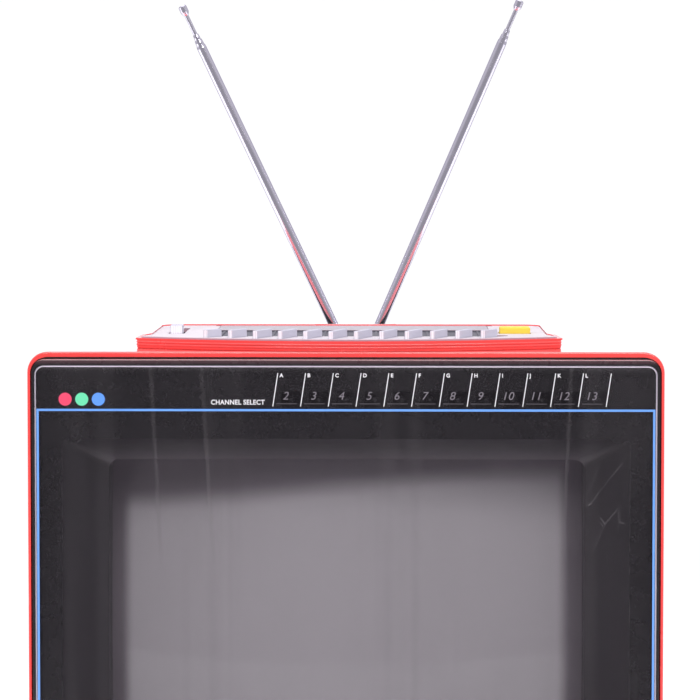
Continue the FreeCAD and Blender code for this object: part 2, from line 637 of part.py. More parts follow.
def deck_plate():
    z0 = DECK_Z - PLATE_T
    plate = deck_outline(3.1, z0, DECK_Z)
    plate = plate.makeChamfer(0.3, edges_at(plate, DECK_Z))
    low, high = z0 - 1, DECK_Z + 1
    x_root, x_tip = RECESS[1] - 1, RECESS[1] + 6
    notch_points = [V(x, depth(RECESS[2] + d), low)
                    for x, d in ((x_root, 0), (x_tip, 4), (x_tip, 9), (x_root, 13))]
    notch = Part.Face(Part.makePolygon(notch_points + notch_points[:1])).extrude(V(0, 0, high - low))
    cuts = [key_outline(i, SLOT_GAP, low, high) for i in range(KEY_COUNT)]
    cuts += [box(x0 - 0.3, x1 + 0.3, depth(DOOR[3] - 4.0), depth(DOOR[3] + 1.4), low, high)
             for x0, x1 in hinge_ears()]
    cuts += [opening(RECESS, 0, low, high), notch, opening(DOOR, 0.4, low, high),
             opening(SLIDER_SLOT, 0, low, high, 1.0), opening(POWER, 0.5, low, high, 1.5)]
    add("deck_plate", cut_all(plate, cuts))


def key_trough():
    """Dark tray under the plate: floor, wall, ribbed recess, key guides and the tuning well."""
    top = DECK_Z - PLATE_T
    floor = TROUGH_FLOOR + TROUGH_T
    tray = deck_outline(3.3, TROUGH_FLOOR, top).cut(deck_outline(4.6, floor, top + 1))
    bridge = opening(RECESS, -0.3, floor - 0.5, DECK_Z - 1.2)
    bridge = bridge.cut(opening(RECESS, -2.3, floor - 1, DECK_Z - 2.8))
    kerb = box(RECESS[0] + 0.3, RECESS[1] - 0.3, depth(RECESS[3] - 1.2), depth(RECESS[3] - 0.3),
               DECK_Z - 1.3, DECK_Z - 0.2)
    ribs = []
    rib_count = 27
    for i in range(rib_count):
        x = RECESS[0] + 4 + i * (RECESS[1] - RECESS[0] - 8) / (rib_count - 1)
        ribs.append(box(x - 0.6, x + 0.6, depth(RECESS[2] + 1), depth(RECESS[3] - 1),
                        DECK_Z - 1.3, DECK_Z - 0.7))
    guides, holes = [], []
    for i in range(KEY_COUNT):
        x, y = pin_place(i)
        guides.append(rod(PIN_R + 1.6, (x, y, TROUGH_FLOOR - 7), (x, y, floor)))
        holes.append(rod(PIN_R + RUNNING, (x, y, TROUGH_FLOOR - 8), (x, y, floor + 1)))
    well = opening(DOOR, 1.6, TROUGH_FLOOR - 6, top).cut(opening(DOOR, 0.5, TROUGH_FLOOR - 7, top + 1))
    ears = [box(x0, x1, depth(DOOR[3] - 3.6), depth(DOOR[3] + 1), floor, DECK_Z - 0.2)
            for x0, x1 in hinge_ears()]
    tray = fused([tray, bridge, kerb] + ribs + guides + [well] + ears)
    hinge_y, hinge_z = hinge_line()
    stem_slot = (SLIDER_SLOT[0] + 2.4, SLIDER_SLOT[1] - 2.4, SLIDER_SLOT[2], SLIDER_SLOT[3])
    for limits, grow, high in ((DOOR, 0.5, top + 1), (POWER, 0.6, floor + 1), (stem_slot, 0, floor + 1)):
        holes.append(opening(limits, grow, TROUGH_FLOOR - 1, high))
    holes.append(rod(HINGE_R + RUNNING, (DOOR[0] - 3.4, hinge_y, hinge_z),
                     (DOOR[1] + 3.4, hinge_y, hinge_z)))
    add("key_trough", cut_all(tray, holes))


def hinge_ears():
    """Limits in X of the two ears that hold the door's hinge pins."""
    return (DOOR[0] - 3.1, DOOR[0] - 0.6), (DOOR[1] + 0.6, DOOR[1] + 3.1)


def hinge_line():
    return depth(DOOR[3]) - DOOR_T / 2, DECK_Z - DOOR_T / 2


def tuning_door():
    y, z = hinge_line()
    leaf = box(DOOR[0], DOOR[1], depth(DOOR[2]), y, DECK_Z - DOOR_T, DECK_Z)
    leaf = leaf.fuse(rod(DOOR_T / 2, (DOOR[0], y, z), (DOOR[1], y, z))).removeSplitter()
    front = [e for e in leaf.Edges
             if all(abs(v.Y - depth(DOOR[2])) < 1e-6 and abs(v.Z - DECK_Z) < 1e-6 for v in e.Vertexes)]
    leaf = leaf.makeFillet(0.6, front)
    grip = box(-9, 9, depth(DOOR[2]) - 1, depth(DOOR[2]) + 2.4, DECK_Z - DOOR_T - 1, DECK_Z - 1.2)
    dimple = rod(1.1, (DOOR[1] - 3.2, y - 1, DECK_Z - 0.8), (DOOR[1] - 3.2, y - 1, DECK_Z + 1))
    pins = [rod(HINGE_R, (x0, y, z), (x1, y, z))
            for x0, x1 in ((DOOR[0] - 2.8, DOOR[0] + 1), (DOOR[1] - 1, DOOR[1] + 2.8))]
    add("tuning_door", fused([leaf.cut(grip).cut(dimple)] + pins))


def tuning_trimmers():
    z = TROUGH_FLOOR - 8
    pieces = [box(DOOR[0] - 6, DOOR[1] + 6, depth(DOOR[2]) - 2, depth(DOOR[3]) + 2, z - 1.6, z)]
    step = (DOOR[1] - DOOR[0] - 16) / (KEY_COUNT - 1)
    for i in range(KEY_COUNT):
        x = DOOR[0] + 8 + i * step
        y = depth((DOOR[2] + DOOR[3]) / 2)
        wheel = rod(4.6, (x, y, z), (x, y, z + 6))
        pieces.append(wheel.cut(box(x - 3.4, x + 3.4, y - 0.6, y + 0.6, z + 4.8, z + 7)))
    add("tuning_trimmers", Part.makeCompound(pieces))


def channel_keys():
    blade_z = DECK_Z - PLATE_T - 0.4
    for i in range(KEY_COUNT):
        blade = key_outline(i, 0, blade_z, DECK_Z + KEY_H)
        rims = [e for e in blade.Edges if all(v.Z > DECK_Z + KEY_H - 1e-6 for v in e.Vertexes)]
        uprights = edges_along(blade, 2)
        blade = blade.makeFillet(0.45, rims + uprights)
        x, y = pin_place(i)
        pin = rod(PIN_R, (x, y, TROUGH_FLOOR - 12), (x, y, blade_z))
        collar = rod(PIN_R + 0.9, (x, y, TROUGH_FLOOR - 8.2), (x, y, TROUGH_FLOOR - 7.2))
        add(f"channel_key_{i + 1:02d}", fused([blade, pin, collar]))


def key_switch_board():
    z = TROUGH_FLOOR - 18
    pieces = [box(KEY_FIRST_X - 8, -KEY_FIRST_X + 12, depth(9.5), depth(40), z - 1.6, z)]
    for i in range(KEY_COUNT):
        x, y = pin_place(i)
        switch = box(x - 3, x + 3, y - 3, y + 3, z, z + 2.4)
        pieces.append(switch.fuse(rod(1.6, (x, y, z + 2.4), (x, y, z + 3.4))))
    add("key_switch_board", Part.makeCompound(pieces))


def volume_control():
    x = (SLIDER_SLOT[0] + SLIDER_SLOT[1]) / 2
    front = depth(SLIDER_SLOT[2]) + 0.6
    back = front + SLIDER_KNOB_L
    cap = box(x - 3.6, x + 3.6, front, back, DECK_Z - PLATE_T + 0.6, DECK_Z + SLIDER_KNOB_H)
    top = [e for e in cap.Edges if all(v.Z > DECK_Z + SLIDER_KNOB_H - 0.1 for v in e.Vertexes)]
    cap = cap.makeFillet(0.6, edges_along(cap, 2) + top)
    crest = DECK_Z + SLIDER_KNOB_H
    grip = [box(x - 4, x + 4, front + 1.6 + 2 * i, front + 2.5 + 2 * i, crest - 0.5, crest + 1)
            for i in range(5)]
    stem = box(x - 1.2, x + 1.2, front + 3.5, front + 7.5, TROUGH_FLOOR - 8, DECK_Z - PLATE_T + 1)
    add("volume_knob", fused([cut_all(cap, grip), stem]))
    can = box(x - 5, x + 5, depth(SLIDER_SLOT[2] - 8), depth(SLIDER_SLOT[3] + 8),
              TROUGH_FLOOR - 14, TROUGH_FLOOR - 5)
    groove = box(x - 1.6, x + 1.6, depth(SLIDER_SLOT[2] + 2), depth(SLIDER_SLOT[3] - 2),
                 TROUGH_FLOOR - 9, TROUGH_FLOOR - 4)
    add("volume_pot", can.cut(groove))


def power_control():
    cap = opening(POWER, 0, DECK_Z - PLATE_T + 0.1, DECK_Z + POWER_H, 1.5)
    crest = [e for e in cap.Edges if all(v.Z > DECK_Z + POWER_H - 1e-6 for v in e.Vertexes)]
    cap = cap.makeFillet(1.0, crest)
    x = (POWER[0] + POWER[1]) / 2
    y = depth((POWER[2] + POWER[3]) / 2)
    plunger = box(x - 2, x + 2, y - 2, y + 2, TROUGH_FLOOR - 4, DECK_Z - PLATE_T + 0.5)
    add("power_button", fused([cap, plunger]))
    body = box(x - 7, x + 7, y - 8, y + 8, TROUGH_FLOOR - 26, TROUGH_FLOOR - 8)
    post = box(x - 1.8, x + 1.8, y - 1.8, y + 1.8, TROUGH_FLOOR - 8, TROUGH_FLOOR - 7.4)
    add("power_switch", body.fuse(post))


# ---------------------------------------------------------------- aerial
TUBES = (("outer", 3.2, 2.75), ("mid", 2.68, 2.15), ("inner", 2.08, 1.5))
TIP_R = 1.4
TUBE_START = 4.6
OUTER_END = 213.0
STEP = 4.0


def leaned(shape, side):
    """Turn a piece drawn upright at the pivot to its stored lean."""
    shape.rotate(V(pivot_x(side), AERIAL_Y, AERIAL_Z), V(0, 1, 0), LEAN[side])
    return shape


def pivot_x(side):
    return AERIAL_X + (AERIAL_HALF if side == "right" else -AERIAL_HALF)


def aerial_base():
    block = box(AERIAL_X - 29.6, AERIAL_X + 29.6, AERIAL_Y - 10.6, AERIAL_Y + 10.6,
                SHELF_Z - 14, SHELF_Z + 0.4)
    block = rounded(block, 2, 2.0)
    lugs = box(AERIAL_X - 33, AERIAL_X + 33, AERIAL_Y - 10, AERIAL_Y + 10,
               SHELF_Z - WALL - 4, SHELF_Z - WALL)
    block = fused([block, lugs])
    cuts = []
    for side in LEAN:
        x = pivot_x(side)
        cuts.append(rod(5.06, (x, AERIAL_Y, SHELF_Z - 15), (x, AERIAL_Y, SHELF_Z + 1)))
        cuts.append(rod(9.4, (x, AERIAL_Y, SHELF_Z - 3.4), (x, AERIAL_Y, SHELF_Z + 1)))
    add("aerial_base", cut_all(block, cuts))


def aerial(side):
    x = pivot_x(side)
    disc = rod(9, (x, AERIAL_Y, SHELF_Z - 3.1), (x, AERIAL_Y, SHELF_Z + 0.3))
    spigot = rod(5, (x, AERIAL_Y, SHELF_Z - 12), (x, AERIAL_Y, SHELF_Z - 3))
    ears = []
    for sy in (-1, 1):
        y0, y1 = sorted((AERIAL_Y + sy * 3.5, AERIAL_Y + sy * 5.5))
        ears.append(box(x - 4, x + 4, y0, y1, SHELF_Z, AERIAL_Z))
        ears.append(rod(4, (x, y0, AERIAL_Z), (x, y1, AERIAL_Z)))
    pin = rod(1.2, (x, AERIAL_Y - 6.2, AERIAL_Z), (x, AERIAL_Y + 6.2, AERIAL_Z))
    add(f"aerial_fork_{side}", fused([disc, spigot, pin] + ears))

    names = {}
    for i, (label, outer, inner) in enumerate(TUBES):
        end = OUTER_END + STEP * i
        start = TUBE_START + 2 + 3 * i
        profile = [(start, inner), (start, outer), (end - 2.2, outer), (end, (outer + inner) / 2 + 0.1),
                   (end, inner)]
        names[label] = revolved(profile, (x, AERIAL_Y, AERIAL_Z), (0, 0, 1))
    eye = rod(3.9, (x, AERIAL_Y - 3.2, AERIAL_Z), (x, AERIAL_Y + 3.2, AERIAL_Z))
    eye = eye.fuse(rod(3.2, (x, AERIAL_Y, AERIAL_Z), (x, AERIAL_Y, AERIAL_Z + TUBE_START + 4)))
    eye = eye.cut(rod(1.25, (x, AERIAL_Y - 9, AERIAL_Z), (x, AERIAL_Y + 9, AERIAL_Z)))
    names["outer"] = names["outer"].fuse(eye).removeSplitter()
    for label, solid in names.items():
        add(f"aerial_{label}_{side}", leaned(solid, side))

    end = AERIAL_LENGTH
    knob = [(16, 0), (16, TIP_R), (end - 4, TIP_R), (end - 3.2, 2.0), (end - 1.6, 2.75),
            (end + 2.4, 2.75), (end + 3.2, 2.1), (end + 3.2, 0)]
    add(f"aerial_tip_{side}", leaned(revolved(knob, (x, AERIAL_Y, AERIAL_Z), (0, 0, 1)), side))


def main():
    cabinet_shell()
    feet()
    rear_cover()
    rear_fittings()
    front_bezel()
    front_panel()
    screen_mask()
    channel_indicator()
    picture_tube()
    chassis()
    speaker()
    deck_bezel()
    deck_plate()
    key_trough()
    tuning_door()
    tuning_trimmers()
    channel_keys()
    key_switch_board()
    volume_control()
    power_control()
    aerial_base()
    for side in LEAN:
        aerial(side)
    add("screws", Part.makeCompound(SCREWS))
    for name, shape in NODES.items():
        solids = shape.Solids
        sound = all(solid.isValid() for solid in solids)
        print(f"{name:24s} solids {len(solids):3d} valid {sound} volume {shape.Volume / 1000:9.2f} cm3")
        shape.exportStep(f"parts/{name}.step")
    print(len(NODES), "nodes")


main()
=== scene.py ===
"""Looks of the tube television: materials, printed graphics, studio and camera, in metres."""
import math

import bmesh
import bpy
from mathutils import Matrix, Vector


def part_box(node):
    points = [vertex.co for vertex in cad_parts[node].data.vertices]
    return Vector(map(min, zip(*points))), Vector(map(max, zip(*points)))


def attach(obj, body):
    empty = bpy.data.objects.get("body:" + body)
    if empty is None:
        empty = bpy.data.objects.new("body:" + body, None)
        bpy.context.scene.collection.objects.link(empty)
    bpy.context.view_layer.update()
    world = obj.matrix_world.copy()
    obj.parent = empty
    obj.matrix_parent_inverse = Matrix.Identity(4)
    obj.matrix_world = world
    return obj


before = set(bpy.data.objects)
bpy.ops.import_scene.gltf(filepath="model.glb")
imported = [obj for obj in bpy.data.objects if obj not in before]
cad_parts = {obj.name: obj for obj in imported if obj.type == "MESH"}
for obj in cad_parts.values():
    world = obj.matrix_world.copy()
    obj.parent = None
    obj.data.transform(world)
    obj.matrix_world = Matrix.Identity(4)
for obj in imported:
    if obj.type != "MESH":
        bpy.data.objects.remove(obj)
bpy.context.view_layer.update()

KEY_COUNT = 12

shell_low, shell_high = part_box("cabinet_shell")
panel_low, panel_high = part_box("front_panel")
glass_low, glass_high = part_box("crt_faceplate")
mask_low, mask_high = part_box("screen_mask")
TOP_Z = shell_high.z
FRONT_Y = shell_low.y
SCREEN_Z = (glass_low.z + glass_high.z) / 2


# ---------------------------------------------------------------- node helpers
class Shader:
    """A material's node tree with short calls for the nodes used here."""

    def __init__(self, name):
        self.material = bpy.data.materials.new(name)
        self.material.use_nodes = True
        self.tree = self.material.node_tree
        self.tree.nodes.clear()
        self.output = self.tree.nodes.new("ShaderNodeOutputMaterial")
        self.place = self.node("ShaderNodeTexCoord").outputs["Object"]

    def node(self, kind, **settings):
        """Adds a node with its settings."""
        made = self.tree.nodes.new(kind)
        for key, value in settings.items():
            setattr(made, key, value)
        return made

    def put(self, socket, value):
        """Links a socket to another one, or sets its constant."""
        if isinstance(value, bpy.types.NodeSocket):
            self.tree.links.new(value, socket)
        else:
            socket.default_value = value

    def math(self, operation, a, b=0.0, c=0.0, clamp=False):
        made = self.node("ShaderNodeMath", operation=operation, use_clamp=clamp)
        for socket, value in zip(made.inputs, (a, b, c)):
            self.put(socket, value)
        return made.outputs[0]

    def product(self, *values):
        """All the values multiplied together."""
        result = values[0]
        for value in values[1:]:
            result = self.math("MULTIPLY", result, value)
        return result

    def mix(self, share, a, b):
        made = self.node("ShaderNodeMix", data_type="RGBA")
        self.put(made.inputs[0], share)
        self.put(made.inputs[6], a)
        self.put(made.inputs[7], b)
        return made.outputs[2]

    def ramp(self, value, low, high, out_low=0.0, out_high=1.0):
        """Smooth step of a value between two limits."""
        made = self.node("ShaderNodeMapRange", interpolation_type="SMOOTHSTEP")
        for socket, item in zip(made.inputs, (value, low, high, out_low, out_high)):
            self.put(socket, item)
        return made.outputs[0]

    def scaled(self, scale):
        made = self.node("ShaderNodeMapping")
        made.inputs["Scale"].default_value = scale
        self.put(made.inputs["Vector"], self.place)
        return made.outputs[0]

    def leaning(self, degrees, size):
        """Coordinates turned in the front plane, then divided by a size along each axis."""
        made = self.node("ShaderNodeMapping", vector_type="TEXTURE")
        made.inputs["Rotation"].default_value = (0, math.radians(degrees), 0)
        made.inputs["Scale"].default_value = size
        self.put(made.inputs["Vector"], self.place)
        return made.outputs[0]

    def noise(self, scale, detail=3.0, rough=0.55, vector=None):
        made = self.node("ShaderNodeTexNoise")
        self.put(made.inputs["Vector"], vector or self.place)
        made.inputs["Scale"].default_value = scale
        made.inputs["Detail"].default_value = detail
        made.inputs["Roughness"].default_value = rough
        return made.outputs["Fac"]

    def cells(self, scale, feature="F1", vector=None, randomness=1.0):
        made = self.node("ShaderNodeTexVoronoi", feature=feature)
        self.put(made.inputs["Vector"], vector or self.place)
        made.inputs["Scale"].default_value = scale
        made.inputs["Randomness"].default_value = randomness
        return made.outputs["Distance"]

    def wave(self, scale, direction, distortion=0.0):
        made = self.node("ShaderNodeTexWave", wave_profile="SIN", bands_direction=direction)
        self.put(made.inputs["Vector"], self.place)
        made.inputs["Scale"].default_value = scale
        made.inputs["Distortion"].default_value = distortion
        return made.outputs["Fac"]

    def axes(self):
        made = self.node("ShaderNodeSeparateXYZ")
        self.put(made.inputs[0], self.place)
        return made.outputs

    def bump(self, height, depth, under=None):
        made = self.node("ShaderNodeBump")
        made.inputs["Strength"].default_value = 1.0
        made.inputs["Distance"].default_value = depth
        self.put(made.inputs["Height"], height)
        if under is not None:
            self.put(made.inputs["Normal"], under)
        return made.outputs[0]

    def normal(self):
        """The surface normal's three parts."""
        made = self.node("ShaderNodeSeparateXYZ")
        self.put(made.inputs[0], self.node("ShaderNodeNewGeometry").outputs["Normal"])
        return made.outputs

    def facing(self, axis, start, end):
        """Rises from 0 to 1 as the surface normal's part along one axis goes from start to end."""
        return self.ramp(self.normal()[axis], start, end)

    def upward(self):
        """How far a surface faces the sky, from 0 to 1."""
        return self.facing(2, 0.5, 1.0)

    def surface(self, colour, rough, normal=None, metal=0.0, coat=0.0, coat_rough=0.03, ior=1.5,
                specular=0.5):
        made = self.node("ShaderNodeBsdfPrincipled")
        self.put(made.inputs["Base Color"], colour)
        self.put(made.inputs["Roughness"], rough)
        made.inputs["Metallic"].default_value = metal
        made.inputs["IOR"].default_value = ior
        made.inputs["Specular IOR Level"].default_value = specular
        made.inputs["Coat Weight"].default_value = coat
        made.inputs["Coat Roughness"].default_value = coat_rough
        if normal is not None:
            self.put(made.inputs["Normal"], normal)
        self.put(self.output.inputs["Surface"], made.outputs[0])
        return made


def srgb(red, green, blue):
    """Linear colour from 8-bit screen values."""
    return tuple((c / 255 / 12.92) if c <= 10 else ((c / 255 + 0.055) / 1.055) ** 2.4
                 for c in (red, green, blue)) + (1.0,)


def dimmed(colour, share):
    """The same hue with a share of its brightness."""
    return tuple(c * share for c in colour[:3]) + (1.0,)


# ---------------------------------------------------------------- materials
PALE_DUST = (0.62, 0.6, 0.58, 1)
GREY_DUST = (0.35, 0.33, 0.33, 1)
WEAR = 0.06
# Heights of the painted highlight on the topmost upward faces and of the painted red reflection on the
# faces just below the top.
PAINTED_HIGHLIGHT_BAND = (TOP_Z - 0.020, TOP_Z - 0.016)
PAINTED_REFLECTION_BAND = (TOP_Z - 0.0080, TOP_Z - 0.0050)


def moulding(name, colour, rough, grain, depth, dust, coat=0.0, coat_rough=0.05, dust_colour=PALE_DUST,
             specular=0.5, painted_wall_shade=None, painted_crown_highlight=None, painted_front_light=None):
    """Injection-moulded plastic: fine grain, slow colour drift, rubbed patches and dust settled on top.

    The last three tones are painted. The first is painted shade on the upright faces, tinted by a painted
    reflection of the red shell.
    The second is a painted highlight on the upward faces at the very top, where the faces in front also
    take a painted reflection of the red shell.
    The third is painted light on the ribbed faces in front, with painted highlight stripes along the ribs.
    """
    s = Shader(name)
    drift = s.ramp(s.noise(9, 4), 0.35, 0.7)
    base = s.mix(drift, colour, dimmed(colour, 0.88))
    # Painted shade: faces that don't face up take a darker pinkish tone, which stands for shade and for the
    # red shell's reflection.
    if painted_wall_shade:
        base = s.mix(s.upward(), painted_wall_shade, base)
    # Painted reflection and highlight: faces near the top are tinted red for the red shell, and upward
    # faces at the very top turn pale.
    if painted_crown_highlight:
        z = s.axes()[2]
        base = s.mix(s.ramp(z, *PAINTED_REFLECTION_BAND), base, dimmed(srgb(104, 70, 78), 0.5))
        base = s.mix(s.product(s.upward(), s.ramp(z, *PAINTED_HIGHLIGHT_BAND)), base, painted_crown_highlight)
    # Painted light: faces in front are lighter, with painted highlight stripes along their ribs.
    if painted_front_light:
        painted_rib_highlights = s.mix(s.wave(230, "X"), dimmed(painted_front_light, 0.80), painted_front_light)
        base = s.mix(s.facing(1, -0.90, -0.97), base, painted_rib_highlights)
    speck = s.ramp(s.noise(900, 2, 0.7), 0.66, 0.78)
    patch = s.ramp(s.noise(22, 5, 0.6), 0.4, 0.75)
    settled = s.math("ADD", s.product(speck, 0.8), s.product(patch, 0.35))
    settled = s.product(s.upward(), settled)
    base = s.mix(s.math("MULTIPLY", settled, dust, clamp=True), base, dust_colour)
    rubbed = s.ramp(s.noise(48, 6, 0.7), 0.35, 0.75, rough - WEAR, rough + WEAR)
    grained = s.bump(s.cells(grain), depth)
    s.surface(base, rubbed, s.bump(s.noise(420, 2), depth * 0.6, grained), coat=coat, coat_rough=coat_rough,
              specular=specular)
    return s.material


def red_gloss():
    """Polished red moulding: clear top coat, slight flow ripple, hair scratches, a little settled dust and
    a painted pale sheen on upward faces.
    """
    s = Shader("red_gloss")
    drift = s.ramp(s.noise(5, 3), 0.3, 0.7)
    base = s.mix(drift, srgb(247, 76, 73), srgb(240, 62, 62))
    # Dust and painted sheen: every upward face is lightened evenly by a painted sheen, and settled dust
    # specks are added on top of it.
    speck = s.ramp(s.noise(1400, 2, 0.7), 0.68, 0.78)
    dust_and_painted_sheen = s.math("ADD", s.product(speck, 0.3), 0.20)
    base = s.mix(s.product(dust_and_painted_sheen, s.upward()), base, (0.85, 0.76, 0.76, 1))
    hair = s.ramp(s.cells(60, "DISTANCE_TO_EDGE", s.scaled((1.0, 7.0, 3.0))), 0.0, 0.006, 1.0, 0.0)
    hair = s.product(hair, s.ramp(s.noise(38, 4), 0.55, 0.7))
    cloud = s.ramp(s.noise(26, 6, 0.7), 0.35, 0.75, 0.16, 0.30)
    rough = s.math("ADD", cloud, s.product(hair, 0.3))
    ripple = s.bump(s.noise(240, 2), 0.00001)
    made = s.surface(base, rough, s.bump(hair, -0.000008, ripple), coat=0.9, coat_rough=0.025)
    s.put(made.inputs["Coat Normal"], ripple)
    return s.material


# Dried runs from wiping: where each starts at the panel's top edge, and how it leans.
DRIED_RUNS = ((-0.1115, -0.05), (-0.0825, -0.06), (0.1290, 0.04))
SMOKE = 0.19


def smoked_panel():
    """Thin smoked acrylic: glossy, frosted on its cut edges, with dust, wipes, light scratches and a
    painted highlight just below its top edge.
    """
    s = Shader("smoked_panel")
    x, _, z = s.axes()
    speck = s.ramp(s.cells(330), 0.0, 0.15, 1.0, 0.0)
    speck = s.product(speck, s.ramp(s.noise(120, 2), 0.60, 0.65))
    wipe = s.ramp(s.noise(14, 6, 0.65, s.scaled((1.0, 1.0, 0.35))), 0.40, 0.8)
    # Scratches are kept to the upper part of the right-hand strip.
    across = s.product(s.ramp(x, 0.126, 0.140), s.ramp(x, 0.152, 0.166, 1.0, 0.0))
    low_end = s.ramp(z, TOP_Z - 0.135, TOP_Z - 0.115)
    high_end = s.ramp(z, TOP_Z - 0.062, TOP_Z - 0.050, 1.0, 0.0)
    region = s.product(across, s.product(low_end, high_end))
    strokes = s.cells(34, "DISTANCE_TO_EDGE", s.leaning(24, (0.42, 1.0, 1.5)))
    strokes = s.ramp(strokes, 0.0, 0.012, 0.55, 0.0)
    scratch = s.product(strokes, s.ramp(s.noise(60, 4, 0.7), 0.44, 0.54), region)
    streak = s.ramp(s.noise(7, 2, 0.4, s.scaled((9.0, 1.0, 0.12))), 0.54, 0.70)
    film = s.math("ADD", s.product(wipe, 0.026), s.product(streak, 0.040))
    for top_x, lean in DRIED_RUNS:
        middle = s.math("MULTIPLY_ADD", s.math("SUBTRACT", z, panel_high.z), lean, top_x)
        run = s.ramp(s.math("ABSOLUTE", s.math("SUBTRACT", x, middle)), 0.0004, 0.0018, 0.075, 0.0)
        film = s.math("ADD", film, s.product(run, s.ramp(z, SCREEN_Z + 0.03, SCREEN_Z + 0.10)))
    side = s.product(s.ramp(x, 0.128, 0.156, 0.0, 0.030), s.ramp(z, TOP_Z - 0.12, TOP_Z - 0.03))
    film = s.math("ADD", film, side)
    # Painted highlight: the panel is lightened in a band just below its top edge, and this band is added to
    # the dirt below.
    painted_top_highlight = s.ramp(z, panel_high.z - 0.0050, panel_high.z - 0.0004, 0.0, 0.13)
    dirt_and_painted_highlight = s.math("ADD", s.product(speck, 0.5), s.product(scratch, 0.6))
    dirt_and_painted_highlight = s.math("ADD", dirt_and_painted_highlight, s.math("ADD", film, 0.016), clamp=True)
    dirt_and_painted_highlight = s.math("ADD", dirt_and_painted_highlight, painted_top_highlight, clamp=True)
    cut_edge = s.ramp(s.math("ABSOLUTE", s.normal()[1]), 0.80, 0.92, 1.0, 0.0)
    colour = s.mix(dirt_and_painted_highlight, (0.020, 0.016, 0.022, 1), (0.60, 0.56, 0.58, 1))
    colour = s.mix(cut_edge, colour, (0.82, 0.74, 0.86, 1))
    cover = s.math("ADD", s.product(dirt_and_painted_highlight, 0.8), SMOKE)
    cover = s.math("ADD", cover, s.product(cut_edge, 0.7), clamp=True)
    rough = s.math("ADD", s.product(dirt_and_painted_highlight, 0.35), s.product(cut_edge, 0.3))
    rough = s.math("ADD", rough, 0.03, clamp=True)
    made = s.surface(colour, rough, s.bump(s.noise(11, 1), 0.00012), ior=1.49)
    s.put(made.inputs["Alpha"], cover)
    return s.material


# The lit part of the tube's face: its middle is a little left of the set's, its side edges are soft.
LIT_OFFSET = 0.0012
LIT_SIDE = (0.1240, 0.1330)


def picture_glass():
    """Tube face: pale grey phosphor behind tinted glass, with painted shade towards the edges of the face.
    """
    s = Shader("picture_glass")
    x, _, z = s.axes()
    sides = s.ramp(s.math("ABSOLUTE", s.math("ADD", x, LIT_OFFSET)), *LIT_SIDE, 1.0, 0.0)
    # The surround shades the top of the face, more on the left than on the right.
    shade_z = s.ramp(x, -0.14, 0.09, SCREEN_Z + 0.076, SCREEN_Z + 0.092)
    top = s.ramp(s.math("SUBTRACT", z, shade_z), -0.007, 0.009, 1.0, 0.0)
    foot = s.ramp(z, SCREEN_Z - 0.104, SCREEN_Z - 0.094)
    # Painted light and shade: the lit tone is the phosphor's grey, made a little lighter towards the top as
    # painted light; the darker edge tone is painted shade towards the edges.
    painted_lit_area = s.product(sides, s.product(top, foot))
    lower = s.ramp(z, SCREEN_Z + 0.10, SCREEN_Z - 0.07, 0.0, 1.0)
    lit = s.mix(lower, srgb(205, 198, 205), srgb(199, 192, 199))
    edge = s.mix(s.ramp(s.noise(18, 3), 0.3, 0.7), srgb(124, 115, 124), srgb(134, 125, 134))
    dots = s.product(s.cells(1500, randomness=0.9), 0.08)
    base = s.mix(painted_lit_area, edge, s.mix(dots, lit, srgb(140, 135, 142)))
    speck = s.ramp(s.cells(240), 0.0, 0.06, 1.0, 0.0)
    speck = s.product(speck, s.ramp(s.noise(70, 2), 0.62, 0.66))
    base = s.mix(s.product(speck, 0.3), base, (0.6, 0.58, 0.56, 1))
    s.surface(base, 0.55, coat=1.0, coat_rough=0.02)
    return s.material


def mask_plastic():
    """Matt surround of the tube; its upper slope catches the light that the tube face gives back."""
    s = Shader("mask_plastic")
    near_tube = s.ramp(s.axes()[1], mask_low.y, mask_high.y)
    lit = s.product(s.facing(2, -0.2, -0.5), near_tube)
    tone = s.mix(s.ramp(s.noise(9, 4), 0.35, 0.7), srgb(42, 38, 43), srgb(36, 32, 37))
    tone = s.mix(lit, tone, srgb(150, 142, 149))
    rough = s.ramp(s.noise(48, 6, 0.7), 0.35, 0.75, 0.44, 0.56)
    s.surface(tone, rough, s.bump(s.cells(2400), 0.00003))
    return s.material


def metal(name, colour, rough, grain_axis, depth, spots, edge=(1, 1, 1, 1)):
    """Plated or rolled metal: drawn lines along one axis, cloudy roughness and small dull spots.

    edge is the tint of faces seen at a glancing angle.
    """
    s = Shader(name)
    lines = s.noise(900, 3, 0.6, s.scaled(grain_axis))
    cloud = s.ramp(s.noise(60, 5, 0.65), 0.35, 0.75, rough * 0.7, rough * 1.5)
    pit = s.product(s.ramp(s.cells(520), 0.0, 0.16, 1.0, 0.0), s.ramp(s.noise(110, 3), 0.56, 0.64))
    tone = s.mix(s.product(pit, spots), colour, (0.16, 0.13, 0.12, 1))
    tone = s.mix(s.ramp(lines, 0.3, 0.8, 0.0, 0.18), tone, dimmed(colour, 0.72))
    dulled = s.math("ADD", cloud, s.product(pit, 0.35 * spots), clamp=True)
    made = s.surface(tone, dulled, s.bump(lines, depth), metal=1.0)
    made.inputs["Specular Tint"].default_value = edge
    return s.material


def winding(name, colour, scale, direction):
    """Enamelled wire laid side by side."""
    s = Shader(name)
    turns = s.wave(scale, direction, distortion=0.6)
    # Painted shade: the wire colour darkens in the grooves between turns.
    tone = s.mix(turns, dimmed(colour, 0.35), colour)
    rough = s.ramp(s.noise(90, 3), 0.3, 0.7, 0.24, 0.4)
    s.surface(tone, rough, s.bump(turns, 0.0002), coat=0.5, coat_rough=0.1)
    return s.material


